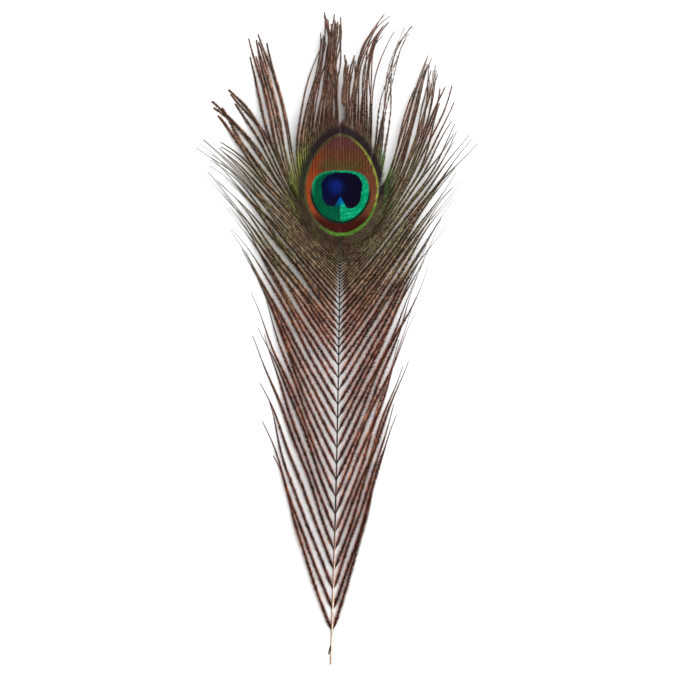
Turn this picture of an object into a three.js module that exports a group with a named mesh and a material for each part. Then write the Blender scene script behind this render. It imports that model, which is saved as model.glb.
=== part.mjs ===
// A peacock eye feather lying face up on a flat surface. One tapering shaft carries the barbs on both sides.
// Low on the shaft every barb lies apart from the next one. Higher up, neighbouring barbs gather in locks.
// Y runs along the shaft towards the tip of the feather, X runs across it and Z is up from the surface.

import * as THREE from "three";

// Driving dimensions, in millimetres
const SHAFT_LENGTH = 232;
const SHAFT_BASE_RADIUS = 0.5;
const SHAFT_TIP_RADIUS = 0.15;
const SHAFT_BOW = 4.1; // how far the cut end lies to the left of the eye's middle line
const SHAFT_RISE = 6; // how much higher the shaft's tip lies than its cut end
const EYE_BASE = 197; // from the cut end to the eye's lower rim
const LOWEST_ROOT = 10; // from the cut end to the lowest barb
const HIGHEST_ROOT = 231; // from the cut end to the point above the topmost barb where the row closes up
const BARB_ARCH = 4; // how far a barb arches above its root before it droops
const TIP_SINK = -3; // height that the tips below the eye droop towards, so that their ends lie flat
const TIP_LIFT = 11; // height of the topmost tips above the surface
const BARB_WIDTH = 2.6; // the most that one barb and its barbules take up from side to side
const BLADE_THICKNESS = 1;
const CLEARANCE = 0.3; // between neighbouring locks
const ROOT_CLEARANCE = 0.45; // between the shaft and the barbs
const EDGE_INSET = 0.1; // along the shaft, from a lock's lowest and highest roots to the barbs that bound it

// Shape of the vane
const SHAFT_BOW_POWER = 1.5;
const ROOT_CROWDING = 3; // 1 would space the roots evenly, more crowds them towards the tip
const ROOT_STEPS = 66; // steps from the lowest root to the point where the row of roots would close up
const GATHER_START = 0.35; // share of a barb's length after which the locks start to gather
const GATHERED = 0.4; // share of its free width that a lock keeps at its tip
const RAGGED = 0.12; // the largest share of its length by which a lock below the eye falls short
const RAGGED_TURN = 2.4; // radians from one lock to the next in the wave that sets how short it is

// Locks on each side, from the lowest up: how many of a kind, and how many barbs each one holds
const LOCKS = [
  { count: 17, barbs: 1 },
  { count: 7, barbs: 2 },
  { count: 4, barbs: 4 },
  { count: 1, barbs: 5 },
];

// Guide barbs of each side, from the lowest up: distance of the root from the cut end, length of the barb,
// and its lean away from the shaft in degrees at the root, half way and at the tip. Two guides close together
// part the locks above the eye.
const LEFT_GUIDES = [
  [10, 98, 20, 18, 24],
  [60, 106, 22, 20, 22],
  [100, 108, 27, 25, 28],
  [130, 106, 33, 31, 36],
  [155, 100, 39, 39, 50],
  [172, 94, 44, 42, 56],
  [181, 92, 48, 43, 60],
  [187, 91, 51, 40, 60],
  [190.5, 94, 53, 28, 26],
  [194.5, 112, 57, 15, 15],
  [198, 111, 65, 2, 42],
  [198.1, 114, 64, -8, -4],
  [206, 97, 57, -10, 5],
  [214, 87, 39, -7, 6],
  [222, 76, 21, -3, 4],
  [231, 65, 2, 2, 1],
];
const RIGHT_GUIDES = [
  [10, 98, 19, 17, 22],
  [60, 106, 21, 19, 20],
  [100, 108, 27, 25, 26],
  [130, 106, 33, 31, 34],
  [155, 104, 39, 37, 44],
  [172, 103, 44, 36, 34],
  [180, 102, 50, 30, 22],
  [187, 104, 58, 22, 8],
  [193, 111, 60, 19, 22],
  [198, 107, 63, 13, 46],
  [198.1, 104, 61, 6, 36],
  [208, 95, 55, 4, 44],
  [208.2, 95, 55, 0, 48],
  [215, 89, 44, 1, 55],
  [221.6, 82, 28, 3, 55],
  [221.7, 59, 27, 1, 19],
  [231, 48, 3, 2, 4],
];
const SIDES = [
  { name: "left", sign: -1, guides: LEFT_GUIDES },
  { name: "right", sign: 1, guides: RIGHT_GUIDES },
];

// Facets
const SHAFT_SIDES = 10;
const SHAFT_STATIONS = 24;
const BLADE_STATIONS = 12;
const STEPS_PER_STATION = 6;

const shaftMaterial = new THREE.MeshStandardMaterial({ color: 0xb79a78, roughness: 0.5, metalness: 0 });
const barbMaterial = new THREE.MeshStandardMaterial({ color: 0x5a3d2b, roughness: 0.55, metalness: 0.2 });
const eyeMaterial = new THREE.MeshStandardMaterial({ color: 0x1f6b4f, roughness: 0.4, metalness: 0.4 });

const { lerp, smoothstep, degToRad } = THREE.MathUtils;

// The shaft's axis and radius at a distance y from its cut end
function shaftPoint(y) {
  const below = Math.max(0, 1 - y / EYE_BASE);
  const x = -SHAFT_BOW * below ** SHAFT_BOW_POWER;
  const z = SHAFT_BASE_RADIUS + SHAFT_RISE * (y / SHAFT_LENGTH);
  return new THREE.Vector3(x, y, z);
}

function shaftRadius(y) {
  return lerp(SHAFT_BASE_RADIUS, SHAFT_TIP_RADIUS, y / SHAFT_LENGTH);
}

// A closed body through rings of points, all with the same number of points and turning the same way
function loft(rings) {
  const size = rings[0].length;
  const last = (rings.length - 1) * size;
  const triangles = [];
  for (let r = 0; r < last; r += size) {
    for (let a = 0; a < size; a++) {
      const b = (a + 1) % size;
      triangles.push(r + a, r + b, r + size + a, r + b, r + size + b, r + size + a);
    }
  }
  for (let a = 1; a < size - 1; a++) {
    triangles.push(0, a + 1, a, last, last + a, last + a + 1);
  }
  const body = new THREE.BufferGeometry().setFromPoints(rings.flat());
  body.setIndex(triangles);
  body.computeVertexNormals();
  return body;
}

function makeShaft() {
  const rings = [];
  for (let s = 0; s <= SHAFT_STATIONS; s++) {
    const centre = shaftPoint((SHAFT_LENGTH * s) / SHAFT_STATIONS);
    const radius = shaftRadius(centre.y);
    const ring = [];
    for (let a = 0; a < SHAFT_SIDES; a++) {
      const turn = (-2 * Math.PI * (a + 0.5)) / SHAFT_SIDES;
      ring.push(new THREE.Vector3(radius * Math.cos(turn), 0, radius * Math.sin(turn)).add(centre));
    }
    rings.push(ring);
  }
  const shaft = new THREE.Mesh(loft(rings), shaftMaterial);
  shaft.name = "shaft";
  return shaft;
}

// Length and lean of the barb that leaves the shaft at this root, between the two nearest guides
function guideAt(guides, root) {
  const above = Math.max(1, guides.findIndex((row) => row[0] >= root));
  const [low, high] = [guides[above - 1], guides[above]];
  const share = (root - low[0]) / (high[0] - low[0]);
  const [, length, rootLean, midLean, tipLean] = low.map((value, i) => lerp(value, high[i], share));
  return { length, rootLean, midLean, tipLean };
}

// Lean, in radians, at a share t of the barb's length: a parabola through the three given leans
function leanAt({ rootLean, midLean, tipLean }, t) {
  const curve = 2 * rootLean - 4 * midLean + 2 * tipLean;
  const slope = -3 * rootLean + 4 * midLean - tipLean;
  return degToRad(rootLean + slope * t + curve * t * t);
}

// Share of its guides' length that the lock with this number has
function lengthShare(side, number, root) {
  const wave = (1 + Math.sin(RAGGED_TURN * number + side.sign)) / 2;
  return 1 - RAGGED * wave * (1 - smoothstep(root, EYE_BASE, HIGHEST_ROOT));
}

// Points of the barb that leaves the shaft at this root, in plan, between two shares of its length
function planOf(side, root, start, end) {
  const guide = guideAt(side.guides, root);
  const point = shaftPoint(root);
  const points = [];
  let t = 0;
  for (let s = 0; s <= BLADE_STATIONS; s++) {
    const step = (lerp(start, end, s / BLADE_STATIONS) - t) / STEPS_PER_STATION;
    for (let i = 0; i < STEPS_PER_STATION; i++) {
      const lean = leanAt(guide, t + step / 2);
      point.x += side.sign * Math.sin(lean) * step * guide.length;
      point.y += Math.cos(lean) * step * guide.length;
      t += step;
    }
    points.push(point.clone());
  }
  return points;
}

// Height of a barb's middle at a share t of its length: it arches up from the shaft, then droops or stays up
function heightAt(root, t) {
  const rootHeight = shaftPoint(root).z;
  const inEye = Math.max(0, (root - EYE_BASE) / (HIGHEST_ROOT - EYE_BASE));
  const tipHeight = lerp(TIP_SINK, TIP_LIFT, inEye);
  const archHeight = rootHeight + BARB_ARCH;
  const height = (1 - t) ** 2 * rootHeight + 2 * t * (1 - t) * archHeight + t * t * tipHeight;
  return Math.max(BLADE_THICKNESS / 2, height);
}

// A flat blade that holds some barbs, with roots between low and high, and ends at a share of their length
function makeLock(side, low, high, barbs, end) {
  const root = (low + high) / 2;
  const guide = guideAt(side.guides, root);
  const bounds = [low + EDGE_INSET, high - EDGE_INSET];
  const leastLean = Math.min(...bounds.map((edge) => leanAt(guideAt(side.guides, edge), 0)));
  const start = (shaftRadius(low) + ROOT_CLEARANCE) / (guide.length * Math.sin(leastLean));
  const middle = planOf(side, root, start, end);
  const edges = bounds.map((edge) => planOf(side, edge, start, end));
  const rings = middle.map((centre, s) => {
    const t = lerp(start, end, s / BLADE_STATIONS);
    const share = lerp(1, GATHERED, smoothstep(t, GATHER_START, 1));
    const height = heightAt(root, t);
    const [lower, upper] = edges.map((edge) => {
      const across = edge[s].clone().sub(centre).setZ(0);
      const reach = Math.min(across.length() * share, (barbs * BARB_WIDTH) / 2);
      across.setLength(reach - CLEARANCE / 2);
      return across.add(centre);
    });
    const [bottom, top] = [height - BLADE_THICKNESS / 2, height + BLADE_THICKNESS / 2];
    const ring = [
      lower.clone().setZ(bottom),
      upper.clone().setZ(bottom),
      upper.clone().setZ(top),
      lower.clone().setZ(top),
    ];
    return side.sign < 0 ? ring.reverse() : ring;
  });
  return loft(rings);
}

// Distance from the cut end of the boundary below the barb with this number
function rootBelow(barb) {
  return lerp(HIGHEST_ROOT, LOWEST_ROOT, (1 - barb / ROOT_STEPS) ** ROOT_CROWDING);
}

function makeSide(side) {
  const meshes = [];
  let barb = 0;
  for (const barbs of LOCKS.flatMap((kind) => Array(kind.count).fill(kind.barbs))) {
    const low = rootBelow(barb);
    const high = rootBelow(barb + barbs);
    const number = meshes.length + 1;
    const end = lengthShare(side, number, (low + high) / 2);
    const material = high > EYE_BASE ? eyeMaterial : barbMaterial;
    const mesh = new THREE.Mesh(makeLock(side, low, high, barbs, end), material);
    const kind = barbs === 1 ? "barb" : "lock";
    mesh.name = `${side.name}_${kind}_${String(number).padStart(2, "0")}`;
    meshes.push(mesh);
    barb += barbs;
  }
  return meshes;
}

const feather = new THREE.Group();
feather.add(makeShaft(), ...SIDES.flatMap(makeSide));

// The part's origin is on the surface, under the middle of the feather
const box = new THREE.Box3().setFromObject(feather);
const middle = box.getCenter(new THREE.Vector3());
feather.position.set(-middle.x, -middle.y, -box.min.z);

const part = new THREE.Group();
part.add(feather);

export default part;
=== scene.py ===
import bpy
import numpy as np
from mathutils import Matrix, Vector


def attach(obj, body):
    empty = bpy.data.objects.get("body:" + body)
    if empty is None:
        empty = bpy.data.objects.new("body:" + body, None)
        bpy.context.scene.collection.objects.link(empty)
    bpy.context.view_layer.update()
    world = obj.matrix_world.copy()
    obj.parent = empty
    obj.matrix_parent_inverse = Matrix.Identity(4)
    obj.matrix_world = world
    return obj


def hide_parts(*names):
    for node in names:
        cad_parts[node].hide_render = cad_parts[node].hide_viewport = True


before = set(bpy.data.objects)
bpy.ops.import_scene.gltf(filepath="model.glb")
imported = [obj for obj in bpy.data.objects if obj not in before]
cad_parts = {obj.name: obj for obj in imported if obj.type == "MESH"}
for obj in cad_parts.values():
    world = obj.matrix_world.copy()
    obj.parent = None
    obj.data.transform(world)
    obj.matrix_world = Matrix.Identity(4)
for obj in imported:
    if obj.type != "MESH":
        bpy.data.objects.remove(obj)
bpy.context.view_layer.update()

# The feather's own measure: millimetres, y along the shaft from its cut end, x from the eye's middle line,
# z up from the surface. The values from the shaft's length to the guide barbs are those of the CAD part.
MM = 0.001
SHAFT_LENGTH = 232
SHAFT_BASE_RADIUS = 0.5
SHAFT_TIP_RADIUS = 0.15
SHAFT_BOW = 4.1
SHAFT_BOW_POWER = 1.5
SHAFT_RISE = 6
EYE_BASE = 197
LOWEST_ROOT = 10
HIGHEST_ROOT = 231
BARB_ARCH = 4
TIP_SINK = -3
TIP_LIFT = 11
ROOT_CROWDING = 3
ROOT_STEPS = 66
GATHER_START = 0.35
GATHERED = 0.4
RAGGED = 0.12
RAGGED_TURN = 2.4
EDGE_INSET = 0.1
SIGN = {"left": -1, "right": 1}

# Guide barbs of each side, from the lowest up: root, length, and lean in degrees at root, half way and tip
GUIDES = {
    "left": np.array([
        (10, 98, 20, 18, 24),
        (60, 106, 22, 20, 22),
        (100, 108, 27, 25, 28),
        (130, 106, 33, 31, 36),
        (155, 100, 39, 39, 50),
        (172, 94, 44, 42, 56),
        (181, 92, 48, 43, 60),
        (187, 91, 51, 40, 60),
        (190.5, 94, 53, 28, 26),
        (194.5, 112, 57, 15, 15),
        (198, 111, 65, 2, 42),
        (198.1, 114, 64, -8, -4),
        (206, 97, 57, -10, 5),
        (214, 87, 39, -7, 6),
        (222, 76, 21, -3, 4),
        (231, 65, 2, 2, 1),
    ]),
    "right": np.array([
        (10, 98, 19, 17, 22),
        (60, 106, 21, 19, 20),
        (100, 108, 27, 25, 26),
        (130, 106, 33, 31, 34),
        (155, 104, 39, 37, 44),
        (172, 103, 44, 36, 34),
        (180, 102, 50, 30, 22),
        (187, 104, 58, 22, 8),
        (193, 111, 60, 19, 22),
        (198, 107, 63, 13, 46),
        (198.1, 104, 61, 6, 36),
        (208, 95, 55, 4, 44),
        (208.2, 95, 55, 0, 48),
        (215, 89, 44, 1, 55),
        (221.6, 82, 28, 3, 55),
        (221.7, 59, 27, 1, 19),
        (231, 48, 3, 2, 4),
    ]),
}

# Locks on each side, from the lowest up: how many of a kind, how many root steps each spans, and its barbs.
# The bare ones have lost many of their barbules.
LOCKS = [(17, 1, 1), (3, 2, 3), (2, 2, 5), (2, 2, 8), (4, 4, 7), (1, 5, 8)]
BARE_LOCKS = {("right", 25)}

# Barbs. Each has a tapering ramus, which carries a fringe of pointed barbules on both sides.
BARB_STATIONS = 72
SHORTEST_END = 0.92  # shares of its lock's length at which a barb can end
LONGEST_END = 1.02
TOP_SHORTEST_END = 0.8
TOP_ROOT = 221  # the barbs with roots above this one end more unevenly
WANDER = 1.2  # how far a barb that lies free strays sideways from its course
LIFT_WANDER = 0.6  # and how far up or down
LOOSE_FIELD = (1.1, 2.2)  # where barbs come free round the eye, with 1 on the eye's outline
SWAY_PACES = (0.7, 1.3, 2.6)  # waves along a barb
SWAY_SHIFT = 0.8
BUNCH = 1.6  # how far the outer two of three single barbs are drawn towards the middle one
BUNCH_RUN = (0.3, 0.9)  # shares of a barb's length between which it is drawn there
LEAST_HEIGHT = 0.4
FLOOR_GAP = 0.05

# Where the vane is closed: round the eye, further out above it, and beside the shaft below it
INSIDE_FIELD = (1.05, 1.2)
CLOSED_FIELD = (1.12, 1.5)
TOP_START = (232, 248)
TOP_SPREAD = 0.2
TOP_FADE = 0.3
SHAFT_VANE_START = (168, 192)
SHAFT_VANE_HALF_WIDTH = (3, 14)
SHAFT_VANE_CLOSED = 0.7

# Rami
RAMUS_RADIUS = 0.27
EYE_RAMUS_RADIUS = 0.15
EYE_RAMUS_ROOTS = (EYE_BASE - 25, EYE_BASE + 10)
RAMUS_TIP_RADIUS = 0.09
RAMUS_LEAST_RADIUS = 0.04
RAMUS_SHARE = 0.17  # the most of its room that a ramus's radius takes
RAMUS_TAPER_POWER = 0.7
RAMUS_LIFT = 0.4  # above the barbules, where the vane is closed
RAMUS_TONE = 0.4

# Barbules
BARBULE_PITCH = 0.21
PITCH_SPREAD = (0.1, 0.9)
BARBULE_WIDTH = 0.44
BARBULE_RIDGE = 0.07
BARBULE_FOOT = 0.2  # how far out its foot counts for the colours, with 0 on the ramus and 1 at its tip
BARBULE_ANGLE = 40  # away from the ramus, in degrees
ANGLE_SPREAD = 5
BARBULE_CANT = 8  # up from the ramus, in degrees
CANT_SPREAD = 9
CLOSED_CALM = 0.5  # share of that spread that the closed vane takes away
REACH_SPREAD = (0.8, 1.15)
LOOSE_REACH = (0.45, 1.45)  # the least and the most on a barb that lies free
LOOSE_SHARE = 0.9  # and the share of its room that they take up
CLOSED_LEAST_REACH = 0.6
CLOSED_MOST_REACH = 3
CLOSED_SHARE = 1.05
EYE_EXTRA_REACH = 1.5  # the eye's own barbules are longer and overlap more
EYE_EXTRA_SHARE = 0.9
BARE_FOOT = 0.04  # share of a barb's length over which the fringe grows to its full reach
FAN_ROOTS = (EYE_BASE - 30, EYE_BASE - 8)  # above these the barbs make up the fan behind the eye
FRINGE_TAPER = 0.8  # share of its reach that the fringe has lost at the barb's tip
FAN_TAPER = 0.45
TAPER_START = 0.5
FAN_TAPER_START = 0.8
CLUMP = 1.5  # length of barb along which the barbules stick together
CLUMP_PULL = 0.35
CLUMP_SHIFT = 0.5  # how far the eye's outlines move from clump to clump
PAINTED_UPPER_SIDE_LIGHT = 0.25  # painted light and shade: the fringe on a barb's upper side is painted brighter by this, on the lower side darker
TONE_SPREAD = 0.15
BARE_SHARE = 0.45  # of the clumps on a bare lock
BARE_REACH = 0.15
KEPT_REACH = 0.8
SLIT_CUT = 0.85  # share of its reach that a barbule loses in the middle of a slit
SLIT_EDGE = (0.5, 1.2)

# The shaft's facets, and the pith at its cut end
SHAFT_SIDES = 16
SHAFT_STATIONS = 120
PITH_SHARE = 0.6  # of the shaft's radius
PITH_DEPTH = 0.8

# A broken barb's stub beside the cut end: where it starts and ends
STUB_ROOT = (-4.3, 8.5, 0.5)
STUB_TIP = (-5.2, 4.6, 0.35)
STUB_RADIUS = 0.3
STUB_TONE = 0.3

# The eye: its centre, and its outlines as ovals. Each has a centre, measured from the eye's own, a half
# width, and above and below the centre a height and a power, where 2 makes an ellipse and more a squarer
# curve.
EYE_CENTRE = np.array([0.6, 218.9])
EGG = ((0, 0), 17.0, (24.6, 1.7), (22.0, 2.0))
DISC = ((-0.4, -0.6), 13.2, (8.7, 2.6), (14.8, 2.0))
HEART = ((0.3, 0.5), 9.4, (6.6, 2.4), (7.5, 2.0))
LEFT_LOBE = ((-4.0, -2.5), 4.9, (5.0, 2.0), (6.0, 2.2))
RIGHT_LOBE = ((3.8, -2.8), 5.3, (5.0, 2.0), (6.6, 2.2))
# The heart's painted blue highlight
HEART_HIGHLIGHT = ((-2.2, 0.8), 6.0, (4.6, 2.0), (5.5, 2.0))
NOTCH = (-0.4, -3.7)  # top of the wedge in the heart
NOTCH_SLOPE = 0.58  # half width of the wedge for each millimetre down from its top
BRONZE_LINES = 1.35  # from one dark line to the next

# Slits between the locks above the eye: middle, half width and half length
SLITS = [((-2.9, 254.5), 0.7, 7), ((1.4, 252.5), 1.4, 5)]

# The photograph: millimetres to a pixel, and the pixels of the eye's middle line and of the cut end
PHOTO_SIDE = 680
PHOTO_SCALE = 300 / 651
EYE_LINE_PIXEL = 340
CUT_END_PIXEL = 664

# The studio, in metres, watts and, for the sensor, millimetres
CAMERA_HEIGHT = 0.9
SENSOR = 36
FLOOR_HALF = 6.0
KEY_PLACE = Vector((0.45, 0.35, 0.95))
KEY_SIZE = 1.2
KEY_POWER = 14
SKY_STRENGTH = 0.75

rng = np.random.default_rng(7)


def blend(start, end, share):
    return start + (end - start) * share


def smooth(value, low, high):
    """From 0 at low to 1 at high, smoothly, and level outside them."""
    share = np.clip((value - low) / (high - low), 0, 1)
    return share * share * (3 - 2 * share)


def unit(vectors):
    return vectors / np.linalg.norm(vectors, axis=1)[:, None]


def linear(*srgb):
    """A colour given in 0 to 255 as the linear red, green, blue and alpha that shaders take."""
    share = np.array(srgb) / 255
    return (*np.where(share <= 0.04045, share / 12.92, ((share + 0.055) / 1.055) ** 2.4), 1)


def feather_origin():
    """Where the feather's own zero lies in the frame, found from the middle of the CAD shaft's cut end."""
    points = np.array([vertex.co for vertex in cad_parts["shaft"].data.vertices])
    ring = points[points[:, 1] < points[:, 1].min() + 0.1 * MM]
    cut_end = (ring.min(axis=0) + ring.max(axis=0)) / 2
    return cut_end - MM * np.array([-SHAFT_BOW, 0, SHAFT_BASE_RADIUS])


ORIGIN = feather_origin()


# Course of the barbs
def shaft_point(y):
    x = -SHAFT_BOW * np.maximum(0, 1 - y / EYE_BASE) ** SHAFT_BOW_POWER
    return np.stack([x, y + 0 * x, SHAFT_BASE_RADIUS + SHAFT_RISE * y / SHAFT_LENGTH + 0 * x], axis=-1)


def shaft_radius(y):
    return blend(SHAFT_BASE_RADIUS, SHAFT_TIP_RADIUS, y / SHAFT_LENGTH)


def plan(side, root, end):
    """Points, seen from above, of the barb with this root on the shaft, up to a share end of its length."""
    guides = GUIDES[side]
    length, at_root, at_middle, at_tip = [np.interp(root, guides[:, 0], column) for column in guides.T[1:]]
    t = end * (np.arange(BARB_STATIONS) + 0.5) / BARB_STATIONS
    slope = -3 * at_root + 4 * at_middle - at_tip
    curve = 2 * at_root - 4 * at_middle + 2 * at_tip
    lean = np.radians(at_root + slope * t + curve * t * t)
    steps = np.stack([SIGN[side] * np.sin(lean), np.cos(lean)], axis=1) * length * end / BARB_STATIONS
    return shaft_point(root)[:2] + np.vstack([np.zeros(2), np.cumsum(steps, axis=0)])


def heights(root, t):
    """Heights of a barb at shares t of its length: it arches up from the shaft, then droops or stays up."""
    root_height = shaft_point(root)[2]
    in_eye = max(0, (root - EYE_BASE) / (HIGHEST_ROOT - EYE_BASE))
    tip_height = blend(TIP_SINK, TIP_LIFT, in_eye)
    arch = root_height + BARB_ARCH
    return (1 - t) ** 2 * root_height + 2 * t * (1 - t) * arch + t * t * tip_height


def root_below(step):
    """Distance from the cut end of the boundary below the root step with this number."""
    return blend(HIGHEST_ROOT, LOWEST_ROOT, (1 - step / ROOT_STEPS) ** ROOT_CROWDING)


def length_share(side, number, root):
    """Share of its guides' length that the lock with this number has."""
    wave = (1 + np.sin(RAGGED_TURN * number + SIGN[side])) / 2
    return 1 - RAGGED * wave * (1 - smooth(root, EYE_BASE, HIGHEST_ROOT))


def egg_field(points):
    """1 on the outline of the eye's outer ring, less inside it and more outside."""
    x, y = (points[:, :2] - EYE_CENTRE).T
    _, half_width, above, below = EGG
    height, power = np.where(y[:, None] > 0, above, below).T
    return (np.abs(x / half_width) ** power + np.abs(y / height) ** power) ** (1 / power)


def closed_vane(course):
    """1 where the barbs hook together in one sheet, and 0 where they lie free."""
    above_eye = smooth(course[:, 1], *TOP_START)
    inner, outer = CLOSED_FIELD
    round_eye = 1 - smooth(egg_field(course) - TOP_SPREAD * above_eye, inner, outer + TOP_FADE * above_eye)
    beside_shaft = 1 - smooth(np.abs(course[:, 0]), *SHAFT_VANE_HALF_WIDTH)
    below_eye = SHAFT_VANE_CLOSED * beside_shaft * smooth(course[:, 1], *SHAFT_VANE_START)
    return np.maximum(round_eye, below_eye)


def to_the_right(course):
    """Directions, seen from above, at right angles to a course."""
    along = unit(np.gradient(course, axis=0))
    return np.stack([along[:, 1], -along[:, 0]], axis=1)


class Barb:
    """One barb: its path, and at each station its share of the length, its room and the vane round it."""

    def __init__(self, side, root, low, high, count, end, bunch):
        self.side = side
        self.root = root
        self.end = end * rng.uniform(TOP_SHORTEST_END if root > TOP_ROOT else SHORTEST_END, LONGEST_END)
        self.t = np.linspace(0, self.end, BARB_STATIONS + 1)
        self.tone = rng.uniform()
        centre = plan(side, (low + high) / 2, self.end)
        share = blend(1, GATHERED, smooth(self.t, GATHER_START, 1))
        course = centre + (plan(side, root, self.end) - centre) * share[:, None]
        across = to_the_right(course)
        edges = plan(side, high - EDGE_INSET, self.end) - plan(side, low + EDGE_INSET, self.end)
        self.room = np.abs(np.sum(edges * across, axis=1)) * share / count
        free = smooth(egg_field(course), *LOOSE_FIELD) * self.t
        stray = WANDER * free * self.sway() - SIGN[side] * bunch * smooth(self.t, *BUNCH_RUN)
        lift = heights(root, self.t) + LIFT_WANDER * free * self.sway()
        course = course + across * stray[:, None]
        self.path = np.column_stack([course, np.maximum(lift, LEAST_HEIGHT)])
        self.inside = 1 - smooth(egg_field(course), *INSIDE_FIELD)
        self.closed = closed_vane(course)

    def sway(self):
        """A random slow wave along the barb."""
        waves = [np.sin(2 * np.pi * (pace * self.t + rng.uniform())) / pace for pace in SWAY_PACES]
        return sum(waves) + rng.normal(0, SWAY_SHIFT)


# Meshes of the barbs
class Strands:
    """Points, triangles and point values of many barbs, gathered for one mesh.

    The point values are a place measured from the eye's centre, and three for the tone: the share of the way
    out from the ramus, a tone of the barb and a tone of the barbule, which also carries painted light and
    shade on the free fringe's upper and lower sides.
    """

    def __init__(self):
        self.points = []
        self.triangles = []
        self.places = []
        self.tones = []
        self.count = 0

    def add(self, points, triangles, place_shift, out, barb_tone, own_tone):
        self.points.append(points)
        self.triangles.append(triangles + self.count)
        self.places.append(points[:, :2] + place_shift - EYE_CENTRE)
        tones = [np.full(len(points), value) for value in (out, barb_tone, own_tone)]
        self.tones.append(np.stack(tones, axis=1))
        self.count += len(points)

    def mesh(self, name):
        points = np.vstack(self.points)
        points[:, 2] = np.maximum(points[:, 2], FLOOR_GAP)
        mesh = bpy.data.meshes.new(name)
        mesh.from_pydata(points * MM + ORIGIN, [], np.vstack(self.triangles))
        store(mesh, "place", np.vstack(self.places))
        store(mesh, "tone", np.vstack(self.tones))
        corners = np.empty(len(mesh.loops), dtype=np.int32)
        mesh.loops.foreach_get("vertex_index", corners)
        low = points[:, :2].min(axis=0)
        span = np.ptp(points[:, :2], axis=0).max()
        bake = mesh.uv_layers.new(name="OFBake")
        bake.data.foreach_set("uv", ((points[corners, :2] - low) / span).astype(np.float32).ravel())
        return mesh


def store(mesh, name, rows):
    """Keep up to three values for each point of a mesh, for its material to read."""
    vectors = np.zeros((len(rows), 3), dtype=np.float32)
    vectors[:, : rows.shape[1]] = rows
    mesh.attributes.new(name, "FLOAT_VECTOR", "POINT").data.foreach_set("vector", vectors.ravel())


def add_ramus(strands, barb):
    t = barb.t / barb.end
    thick = blend(RAMUS_RADIUS, EYE_RAMUS_RADIUS, smooth(barb.root, *EYE_RAMUS_ROOTS))
    radius = blend(RAMUS_TIP_RADIUS, thick, (1 - t) ** RAMUS_TAPER_POWER)
    radius = np.minimum(radius, np.maximum(RAMUS_LEAST_RADIUS, RAMUS_SHARE * barb.room))
    along = np.gradient(barb.path, axis=0)
    across = unit(np.cross(along, (0, 0, 1)))
    up = unit(np.cross(across, along))
    ring = [across, up, -across, -up]
    middle = barb.path + (RAMUS_LIFT * barb.closed)[:, None] * (0, 0, 1)
    points = np.stack([middle + radius[:, None] * direction for direction in ring], axis=1).reshape(-1, 3)
    start = 4 * np.arange(len(t) - 1)
    last = 4 * (len(t) - 1)
    triangles = [[(0, 1, 2), (0, 2, 3), (last, last + 2, last + 1), (last, last + 3, last + 2)]]
    for a in range(4):
        b = (a + 1) % 4
        triangles.append(np.stack([start + a, start + 4 + a, start + b], axis=1))
        triangles.append(np.stack([start + b, start + 4 + a, start + 4 + b], axis=1))
    strands.add(points, np.vstack(triangles), 0, 0, barb.tone, RAMUS_TONE)


def at_spots(spot, run, values):
    """Values given at distances run along a barb, found at other distances."""
    return np.stack([np.interp(spot, run, column) for column in values.T], axis=1)


def barbule_reach(barb, t, base, room, closed, inside, lost):
    """How far barbules stand out: over all the room in the closed vane, less where the barb lies free."""
    fan = smooth(barb.root, *FAN_ROOTS)
    taper = 1 - blend(FRINGE_TAPER, FAN_TAPER, fan) * smooth(t, blend(TAPER_START, FAN_TAPER_START, fan), 1)
    loose = np.clip(LOOSE_SHARE * room, *LOOSE_REACH) * smooth(t, 0, BARE_FOOT) * taper
    if lost is not None:
        loose = loose * np.where(lost, BARE_REACH, KEPT_REACH)
    least = CLOSED_LEAST_REACH + EYE_EXTRA_REACH * inside
    full = np.clip((CLOSED_SHARE + EYE_EXTRA_SHARE * inside) * room, least, CLOSED_MOST_REACH)
    reach = blend(loose, full, closed)
    for middle, half_width, half_length in SLITS:
        x, y = (np.abs(base[:, :2] - middle) / (half_width, half_length)).T
        reach = reach * (1 - SLIT_CUT * (1 - smooth(np.hypot(x, y), *SLIT_EDGE)))
    return reach


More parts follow.
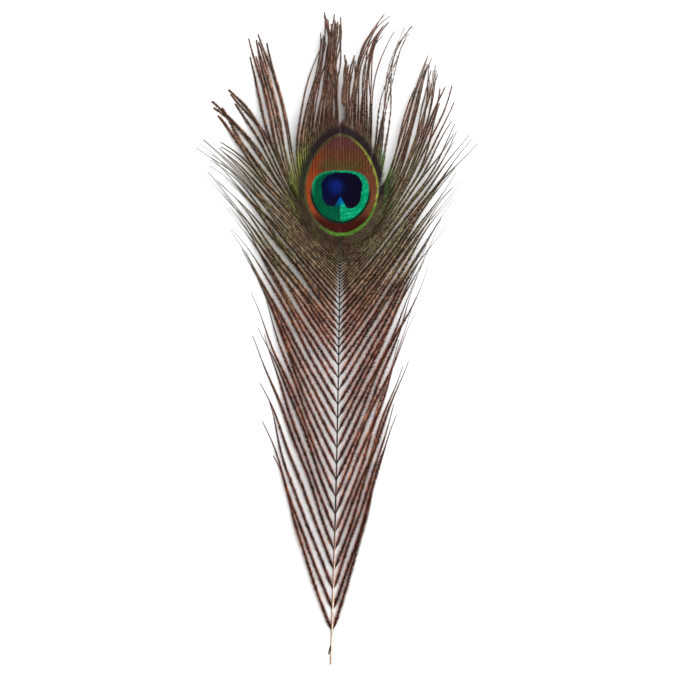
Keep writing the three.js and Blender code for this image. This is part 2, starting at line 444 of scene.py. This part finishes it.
def add_barbules(strands, barb, hand, bare):
    """The fringe on one side of a barb: flat pointed blades that lean towards the barb's tip."""
    steps = np.linalg.norm(np.diff(barb.path, axis=0), axis=1)
    run = np.concatenate([[0], np.cumsum(steps)])
    number = int(run[-1] / BARBULE_PITCH)
    spot = (np.arange(number) + rng.uniform(*PITCH_SPREAD, number)) * BARBULE_PITCH
    t = spot / run[-1]
    base = at_spots(spot, run, barb.path)
    along = unit(at_spots(spot, run, np.gradient(barb.path, run, axis=0)))
    across = hand * unit(np.cross(along, (0, 0, 1)))
    up = hand * np.cross(across, along)
    room, closed, inside = [np.interp(spot, run, value) for value in (barb.room, barb.closed, barb.inside)]

    clump = np.floor(spot / CLUMP + rng.uniform()).astype(int)
    clump_tone = rng.uniform(0, 1, clump.max() + 1)[clump]
    clump_middle = CLUMP * (clump + 0.5 - rng.uniform(0, 1))
    reach = barbule_reach(barb, t, base, room, closed, inside, clump_tone < BARE_SHARE if bare else None)
    reach = reach * rng.uniform(*REACH_SPREAD, number)
    angle = np.radians(BARBULE_ANGLE + rng.normal(0, ANGLE_SPREAD, number))
    pull = CLUMP_PULL * (1 - closed) * (clump_middle - spot) * np.minimum(reach, 1)
    forward = reach / np.tan(angle) + pull
    cant = np.radians(BARBULE_CANT * hand + rng.normal(0, CANT_SPREAD, number) * (1 - CLOSED_CALM * closed))
    tip = base + along * forward[:, None] + across * reach[:, None] + up * (np.tan(cant) * reach)[:, None]

    half = along * (BARBULE_WIDTH / 2)
    corners = np.stack([base - half, base + half, base + up * BARBULE_RIDGE, tip], axis=1).reshape(-1, 3)
    faces = np.array([(0, 2, 3), (2, 1, 3), (1, 0, 3), (0, 1, 2)])
    if hand > 0:
        faces = faces[:, ::-1]
    triangles = (4 * np.arange(number)[:, None, None] + faces).reshape(-1, 3)
    shift = np.repeat(along[:, :2] * (CLUMP_SHIFT * (clump_tone - 0.5))[:, None], 4, axis=0)
    # Painted light and shade: the free fringe is brighter on the barb's upper side and darker on its lower
    # side
    painted_side_light = -PAINTED_UPPER_SIDE_LIGHT * hand * SIGN[barb.side] * (1 - closed)
    own_tone = np.clip(clump_tone + rng.normal(0, TONE_SPREAD, number) + painted_side_light, 0, 1)
    out = np.tile([BARBULE_FOOT, BARBULE_FOOT, BARBULE_FOOT, 1], number)
    strands.add(corners, triangles, shift, out, barb.tone, np.repeat(own_tone, 4))


def add_stub(strands):
    """The dark stub of a broken barb beside the cut end, three-sided and flat below."""
    ring = STUB_RADIUS * np.array([(1, 0, 0), (0, 0, 1), (-1, 0, 0)])
    points = np.vstack([np.array(STUB_ROOT) + ring, np.array(STUB_TIP) + ring])
    triangles = [(2, 1, 0), (4, 5, 3)]
    for a in range(3):
        b = (a + 1) % 3
        triangles += [(a, b, a + 3), (b, b + 3, a + 3)]
    strands.add(points, np.array(triangles), 0, BARBULE_FOOT, STUB_TONE, STUB_TONE)


def make_lock(side, number, low, high, barbs):
    """The strands of one lock. Single barbs lie in threes, the outer two drawn towards the middle one."""
    strands = Strands()
    if (side, number) == ("left", 1):
        add_stub(strands)
    end = length_share(side, number, (low + high) / 2)
    bunch = BUNCH * (1 - number % 3) if barbs == 1 else 0
    for b in range(barbs):
        root = low + (high - low) * (b + 0.5) / barbs
        barb = Barb(side, root, low, high, barbs, end, bunch)
        add_ramus(strands, barb)
        for hand in (-1, 1):
            add_barbules(strands, barb, hand, (side, number) in BARE_LOCKS)
    return strands


# Materials
class Field:
    """A number that a material works out at every point. Python's operators on it add math nodes."""

    def __init__(self, tree, socket):
        self.tree = tree
        self.socket = socket

    def math(self, operation, *others):
        node = self.tree.nodes.new("ShaderNodeMath")
        node.operation = operation
        for slot, value in zip(node.inputs, (self, *others)):
            if isinstance(value, Field):
                self.tree.links.new(value.socket, slot)
            else:
                slot.default_value = value
        return Field(self.tree, node.outputs[0])

    def __add__(self, other):
        return self.math("ADD", other)

    def __sub__(self, other):
        return self.math("SUBTRACT", other)

    def __mul__(self, other):
        return self.math("MULTIPLY", other)

    def __truediv__(self, other):
        return self.math("DIVIDE", other)

    def __pow__(self, other):
        return self.math("POWER", other)

    def size(self):
        return self.math("ABSOLUTE")

    def step(self, low, high, start=0, end=1):
        """From start at low to end at high, smoothly, and level outside them."""
        node = self.tree.nodes.new("ShaderNodeMapRange")
        node.interpolation_type = "SMOOTHSTEP"
        self.tree.links.new(self.socket, node.inputs["Value"])
        for key, value in zip(("From Min", "From Max", "To Min", "To Max"), (low, high, start, end)):
            node.inputs[key].default_value = value
        return Field(self.tree, node.outputs["Result"])


def values(tree, name):
    """The three values that store kept under a name."""
    source = tree.nodes.new("ShaderNodeAttribute")
    source.attribute_name = name
    parts = tree.nodes.new("ShaderNodeSeparateXYZ")
    tree.links.new(source.outputs["Vector"], parts.inputs[0])
    return [Field(tree, output) for output in parts.outputs]


def noise(tree, scale):
    """Noise over the feather, with scale in cycles to a millimetre."""
    source = tree.nodes.new("ShaderNodeAttribute")
    source.attribute_name = "place"
    node = tree.nodes.new("ShaderNodeTexNoise")
    node.inputs["Scale"].default_value = scale
    tree.links.new(source.outputs["Vector"], node.inputs["Vector"])
    return Field(tree, node.outputs["Fac"])


def mix(tree, under, over, share):
    """One colour laid over another, by a share that a material works out."""
    node = tree.nodes.new("ShaderNodeMix")
    node.data_type = "RGBA"
    tree.links.new(share.socket, node.inputs["Factor"])
    for slot, colour in zip((node.inputs[6], node.inputs[7]), (under, over)):
        if isinstance(colour, tuple):
            slot.default_value = colour
        else:
            tree.links.new(colour, slot)
    return node.outputs[2]


def scaled(tree, colour, factor):
    node = tree.nodes.new("ShaderNodeVectorMath")
    node.operation = "SCALE"
    tree.links.new(colour, node.inputs[0])
    tree.links.new(factor.socket, node.inputs["Scale"])
    return node.outputs[0]


def new_material(name):
    material = bpy.data.materials.new(name)
    material.use_nodes = True
    tree = material.node_tree
    return material, tree, tree.nodes["Principled BSDF"]


def oval(x, y, outline):
    """A field that is 1 on an oval's outline, less inside it and more outside."""
    centre, half_width, (above, above_power), (below, below_power) = outline
    dy = y - centre[1]
    reach = dy.step(-0.1, 0.1, below, above)
    power = dy.step(-0.1, 0.1, below_power, above_power)
    across = ((x - centre[0]) / half_width).size() ** power
    return (across + (dy / reach).size() ** power) ** (power ** -1)


def vane_colour(tree, y, across):
    """Copper low on the feather, olive round the eye, rosy brown above it, and paler barbule ends."""
    patches = noise(tree, 0.1).step(0.35, 0.65)
    flecks = noise(tree, 0.7)
    copper = mix(tree, linear(84, 45, 35), linear(114, 68, 54), patches)
    olive = mix(tree, linear(76, 54, 40), linear(90, 80, 54), patches)
    rosy = mix(tree, linear(106, 72, 60), linear(96, 78, 62), patches)
    near_eye = y.step(-68, -28)
    above_eye = y.step(6, 36)
    colour = mix(tree, mix(tree, copper, olive, near_eye), rosy, above_eye)
    colour = mix(tree, colour, linear(140, 74, 48), flecks.step(0.56, 0.68) * (near_eye * -0.7 + 0.8))
    pale = mix(tree, linear(186, 150, 132), linear(168, 150, 122), near_eye)
    pale = mix(tree, pale, linear(176, 146, 130), above_eye)
    colour = mix(tree, colour, pale, across.step(0.5, 1.0) * 0.7)
    return mix(tree, linear(25, 14, 10), colour, across.step(0.0, 0.5))


def add_band(tree, colour, x, y, egg, across, barb_tone):
    """Outside the eye's rim: green streaks at both sides, and a dark band round the upper half."""
    side_streaks = mix(tree, linear(116, 128, 50), linear(78, 120, 62), x.step(-4, 4))
    beside = egg.step(1.1, 1.2) * egg.step(1.3, 1.6, 1, 0) * y.step(-16, -6) * y.step(14, 26, 1, 0)
    streaks = across.step(0.2, 0.7) * barb_tone.step(0.25, 0.7)
    colour = mix(tree, colour, side_streaks, beside * streaks * 0.9)
    band_colour = mix(tree, linear(48, 52, 38), linear(45, 35, 40), (x + y * 0.7).step(-12, 4))
    band = egg.step(0.99, 1.02) * egg.step(1.1, 1.24, 1, 0) * y.step(-10, 0)
    return mix(tree, colour, band_colour, band * 0.92)


def add_bronze(tree, colour, x, y, egg, ragged, own_tone):
    """The bright rim, thin and dim at the left, and the bronze ground inside it."""
    right = (x - y * 0.3).step(-4, 6)
    rim_colour = mix(tree, linear(84, 98, 44), linear(164, 178, 68), right)
    rim_colour = mix(tree, rim_colour, linear(98, 160, 56), (y - x * 0.35).step(-16, -10, 1, 0))
    rim = egg.step(1.02, 0.99) * (right * 0.4 + own_tone.step(0.2, 0.6) * 0.6).math("MINIMUM", 1)
    colour = mix(tree, colour, rim_colour, rim)
    bronze = mix(tree, linear(160, 72, 38), linear(122, 74, 50), x.step(-13, -6))
    bronze = mix(tree, bronze, linear(74, 26, 20), y.step(-9, -16))
    olive = y.step(7, 9) * y.step(10, 15, 1, 0) * x.size().step(6, 13, 1, 0)
    bronze = mix(tree, bronze, linear(104, 86, 46), olive)
    bronze = mix(tree, bronze, linear(112, 66, 66), y.step(14, 23))
    lines = (x * (2 * np.pi / BRONZE_LINES) + ragged * 2).math("SINE").step(0.1, 0.9) * y.step(2, 10)
    bronze = mix(tree, bronze, linear(44, 26, 20), lines * 0.6)
    return mix(tree, colour, bronze, (egg + y.step(-12, -19, 0, 0.02)).step(0.97, 0.94))


def add_heart(tree, colour, x, y, ragged, own_tone):
    """The green disc, painted darker on its left half as shade and brighter on its right as lit, with
    painted glints there, and on it the dark heart with a bright wedge cut into it from below and a painted
    blue highlight.
    """
    right = x.step(-0.9, 0.1)
    disc = oval(x, y, DISC) + ragged * 0.03
    colour = mix(tree, colour, linear(16, 46, 34), disc.step(1.09, 1.04) * y.step(2, -4))
    # Painted light and shade: the green disc is darker on its left half and brighter on its right, where
    # single barbules carry painted glints
    shaded_left_green = mix(tree, linear(0, 94, 62), linear(16, 160, 106), disc.step(0.84, 0.97) * y.step(-6, 4))
    lit_right_green = mix(tree, linear(0, 168, 116), linear(56, 212, 164), own_tone.step(0.6, 0.95) * 0.7)
    colour = mix(tree, colour, mix(tree, shaded_left_green, lit_right_green, right), disc.step(1.01, 0.96))
    lobes = oval(x, y, LEFT_LOBE).math("MINIMUM", oval(x, y, RIGHT_LOBE))
    heart = lobes.math("MINIMUM", oval(x, y, HEART)) + ragged * 0.02
    notch = (x - NOTCH[0]).size() + (y - NOTCH[1]) * NOTCH_SLOPE
    colour = mix(tree, colour, linear(0, 96, 190), notch.step(0.6, 0) * (y - NOTCH[1]).step(-6, -0.8))
    # Painted highlight: a soft brighter blue on the heart, mostly on its left half
    painted_highlight = oval(x, y, HEART_HIGHLIGHT).step(1.0, 0.15)
    navy = mix(tree, linear(10, 14, 58), linear(16, 12, 38), x.step(-6, 4))
    navy = mix(tree, navy, linear(26, 13, 40), y.step(-5, -9))
    dark = mix(tree, navy, linear(16, 40, 124), painted_highlight * x.step(-1.2, 1.6, 1, 0.35))
    return mix(tree, colour, dark, heart.step(1.02, 0.97) * notch.step(-0.4, 0.1))


def eye_layers(tree, colour, x, y, across, barb_tone, own_tone):
    """The eye's rings over a colour, from the outside in, with x and y in millimetres from its centre."""
    ragged = noise(tree, 1.2) - 0.5
    egg = oval(x, y, EGG) + ragged * 0.03
    colour = add_band(tree, colour, x, y, egg, across, barb_tone)
    colour = add_bronze(tree, colour, x, y, egg, ragged, own_tone)
    return add_heart(tree, colour, x, y, ragged, own_tone)


def make_barb_material():
    """The vane's colour under the eye's rings, with tones that change from barb to barb and along them, and
    painted glints on single barbules.
    """
    material, tree, shader = new_material("barb")
    x, y, _ = values(tree, "place")
    across, barb_tone, own_tone = values(tree, "tone")
    colour = eye_layers(tree, vane_colour(tree, y, across), x, y, across, barb_tone, own_tone)
    outside = oval(x, y, EGG).step(1.0, 1.4)
    # Painted highlights: brighter and darker barbules stand in for glints along the barbs; with the barb's
    # own tone and the darker rami
    painted_glint = own_tone ** 2 * 1.7 + 0.4
    glint_and_tone = painted_glint * (barb_tone * 0.5 + 0.75) * across.step(0, 0.2, 0.55, 1)
    tone = (glint_and_tone - 1) * (outside * 0.65 + 0.35) + 1
    tree.links.new(scaled(tree, colour, tone), shader.inputs["Base Color"])
    tree.links.new(own_tone.step(0, 1, 0.55, 0.36).socket, shader.inputs["Roughness"])
    shader.inputs["Metallic"].default_value = 0.3
    shader.inputs["Specular IOR Level"].default_value = 0.06
    return material


def make_shaft_material():
    """Pale with a dark left edge at the cut end, dark higher up, and coloured like the barbs in the eye."""
    material, tree, shader = new_material("shaft")
    x, y, _ = values(tree, "place")
    side, _, _ = values(tree, "tone")
    streaks = noise(tree, 0.6).step(0.4, 0.6)
    pale = mix(tree, linear(228, 194, 168), linear(246, 222, 200), streaks)
    dark = mix(tree, linear(50, 38, 32), linear(78, 62, 50), streaks)
    dark_side = side - y.step(-200, -158, 0, 0.8)
    pale = mix(tree, pale, linear(88, 58, 44), dark_side.step(-0.3, -0.7))
    colour = mix(tree, pale, dark, y.step(-165, -150))
    colour = mix(tree, colour, linear(58, 76, 44), y.step(-45, -22))
    colour = eye_layers(tree, colour, x, y, side.size(), streaks, streaks)
    tree.links.new(scaled(tree, colour, streaks * 0.2 + 0.8), shader.inputs["Base Color"])
    shader.inputs["Roughness"].default_value = 0.42
    shader.inputs["Specular IOR Level"].default_value = 0.12
    return material


def make_floor_material():
    material, _, shader = new_material("floor")
    shader.inputs["Base Color"].default_value = linear(244, 244, 244)
    shader.inputs["Roughness"].default_value = 0.8
    shader.inputs["Specular IOR Level"].default_value = 0.2
    return material


# Pieces
def make_shaft():
    """The tapering shaft, with the pith sunk a little at its cut end."""
    y = np.concatenate([[PITH_DEPTH, 0], np.linspace(0, SHAFT_LENGTH, SHAFT_STATIONS)])
    radius = shaft_radius(y)
    radius[:2] *= PITH_SHARE
    turn = 2 * np.pi * np.arange(SHAFT_SIDES) / SHAFT_SIDES
    circle = np.stack([np.cos(turn), 0 * turn, np.sin(turn)], axis=1)
    points = (shaft_point(y)[:, None] + radius[:, None, None] * circle).reshape(-1, 3)
    last = (len(y) - 1) * SHAFT_SIDES
    faces = [tuple(range(SHAFT_SIDES)), tuple(last + a for a in reversed(range(SHAFT_SIDES)))]
    for low in range(0, last, SHAFT_SIDES):
        high = low + SHAFT_SIDES
        for a in range(SHAFT_SIDES):
            b = (a + 1) % SHAFT_SIDES
            faces.append((low + a, high + a, high + b, low + b))
    mesh = bpy.data.meshes.new("feather_shaft")
    mesh.from_pydata(points * MM + ORIGIN, [], faces)
    mesh.shade_smooth()
    store(mesh, "place", points[:, :2] - EYE_CENTRE)
    store(mesh, "tone", np.tile(circle[:, :1], (len(y), 1)))
    return mesh


def add_piece(mesh, material, node):
    piece = bpy.data.objects.new(mesh.name, mesh)
    bpy.context.scene.collection.objects.link(piece)
    mesh.materials.append(material)
    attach(piece, "root")
    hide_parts(node)


def make_feather():
    add_piece(make_shaft(), make_shaft_material(), "shaft")
    barb_material = make_barb_material()
    kinds = [(steps, barbs) for count, steps, barbs in LOCKS for _ in range(count)]
    for side in SIGN:
        step = 0
        for number, (steps, barbs) in enumerate(kinds, start=1):
            low, high = root_below(step), root_below(step + steps)
            slot = "eye" if high > EYE_BASE else "barbs"
            if number == len(kinds):
                high = HIGHEST_ROOT  # the topmost strands grow up to where the row of roots closes
            kind = "barb" if steps == 1 else "lock"
            node = f"{side}_{kind}_{number:02d}"
            strands = make_lock(side, number, low, high, barbs)
            add_piece(strands.mesh(f"{node}_strands"), barb_material, node)
            step += steps


# Stage
def make_stage():
    """A plain floor, an even white sky, and one large soft light from the upper right."""
    mesh = bpy.data.meshes.new("floor")
    corners = [(-1, -1, 0), (1, -1, 0), (1, 1, 0), (-1, 1, 0)]
    mesh.from_pydata([FLOOR_HALF * Vector(corner) for corner in corners], [], [(0, 1, 2, 3)])
    floor = bpy.data.objects.new("floor", mesh)
    bpy.context.scene.collection.objects.link(floor)
    mesh.materials.append(make_floor_material())

    world = bpy.data.worlds.new("studio")
    world.use_nodes = True
    sky = world.node_tree.nodes["Background"]
    sky.inputs["Color"].default_value = (1, 1, 1, 1)
    sky.inputs["Strength"].default_value = SKY_STRENGTH
    bpy.context.scene.world = world

    light = bpy.data.lights.new("key", "AREA")
    light.size = KEY_SIZE
    light.energy = KEY_POWER
    key = bpy.data.objects.new("key", light)
    key.location = KEY_PLACE
    key.rotation_euler = (-KEY_PLACE).to_track_quat("-Z", "Y").to_euler()
    bpy.context.scene.collection.objects.link(key)


def make_camera():
    """Straight down, with the photograph's frame at the height of the floor."""
    middle = PHOTO_SIDE / 2
    aim = np.array([middle - EYE_LINE_PIXEL, CUT_END_PIXEL - middle]) * PHOTO_SCALE * MM + ORIGIN[:2]
    lens = bpy.data.cameras.new("camera")
    lens.sensor_width = SENSOR
    lens.lens = SENSOR * CAMERA_HEIGHT / (PHOTO_SIDE * PHOTO_SCALE * MM)
    camera = bpy.data.objects.new("camera", lens)
    camera.location = (*aim, CAMERA_HEIGHT)
    bpy.context.scene.collection.objects.link(camera)
    bpy.context.scene.camera = camera


make_camera()
make_stage()
make_feather()
bpy.context.scene.view_settings.view_transform = "Standard"
bpy.context.view_layer.update()
